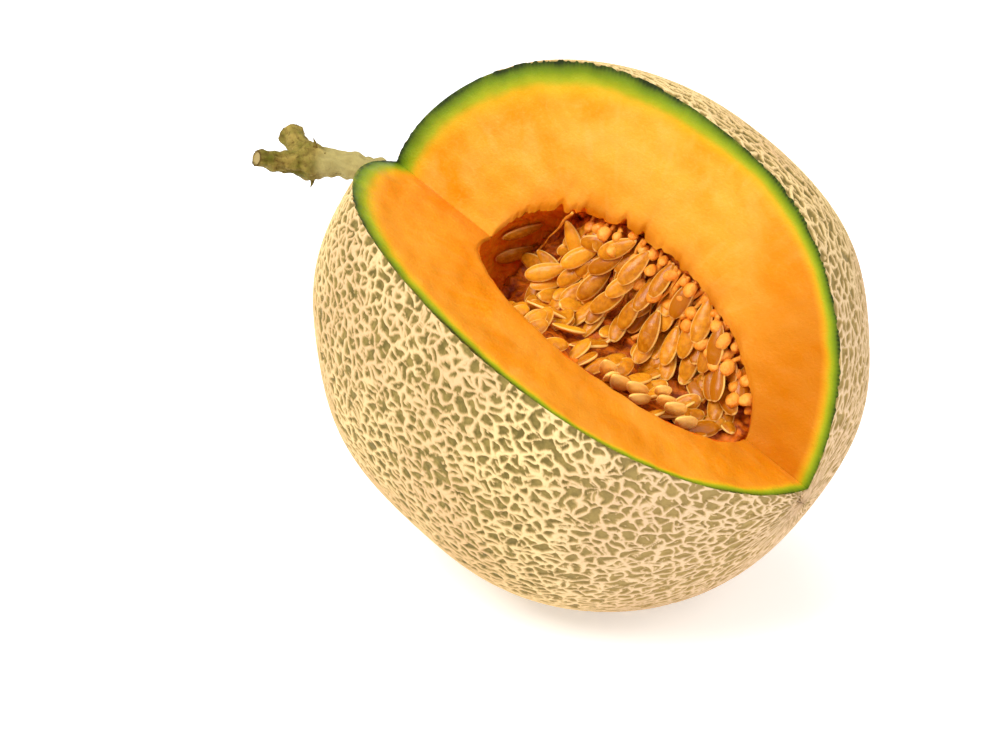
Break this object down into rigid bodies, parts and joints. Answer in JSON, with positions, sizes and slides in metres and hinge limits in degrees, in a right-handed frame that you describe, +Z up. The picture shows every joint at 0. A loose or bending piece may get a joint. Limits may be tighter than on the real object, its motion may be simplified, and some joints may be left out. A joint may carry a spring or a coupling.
{
  "type": "cantaloupe melon",
  "caption": "Ripe netted cantaloupe lying on its side, one wedge cut out to show the seeds in its hollow, with its vine stub on.",
  "frame": {"origin": "centre of the melon, straight down on the flat spot that it rests on", "axes": "+Z up from the flat spot, -Y towards the open side of the cut wedge, the stem end towards -X and up"},
  "size_m": [0.1727, 0.1512, 0.1447],
  "materials": {
    "melon": "wet orange flesh under a green rind with raised cream cork netting",
    "pulp": "wet, fibrous, deep orange",
    "stem": "dry, ridged, green and tan",
    "seed": "wet amber seed coat with a paler rim"
  },
  "bodies": {
    "root": {"melon_body": "melon", "seed_pulp": "pulp", "stem": "stem", "seed_01": "seed", "seed_02": "seed", "seed_03": "seed", "seed_04": "seed", "seed_05": "seed", "seed_06": "seed", "seed_07": "seed", "seed_08": "seed", "seed_09": "seed", "seed_10": "seed", "seed_11": "seed", "seed_12": "seed", "seed_13": "seed", "seed_14": "seed", "seed_15": "seed", "seed_16": "seed", "seed_17": "seed", "seed_18": "seed", "seed_19": "seed", "seed_20": "seed", "seed_21": "seed", "seed_22": "seed", "seed_23": "seed", "seed_24": "seed", "seed_25": "seed", "seed_26": "seed", "seed_27": "seed", "seed_28": "seed", "seed_29": "seed", "seed_30": "seed", "seed_31": "seed", "seed_32": "seed", "seed_33": "seed", "seed_34": "seed", "seed_35": "seed", "seed_36": "seed", "seed_37": "seed", "seed_38": "seed", "seed_39": "seed", "seed_40": "seed", "seed_41": "seed", "seed_42": "seed", "seed_43": "seed", "seed_44": "seed", "seed_45": "seed", "seed_46": "seed", "seed_47": "seed", "seed_48": "seed", "seed_49": "seed", "seed_50": "seed", "seed_51": "seed", "seed_52": "seed"}
  },
  "joints": []
}
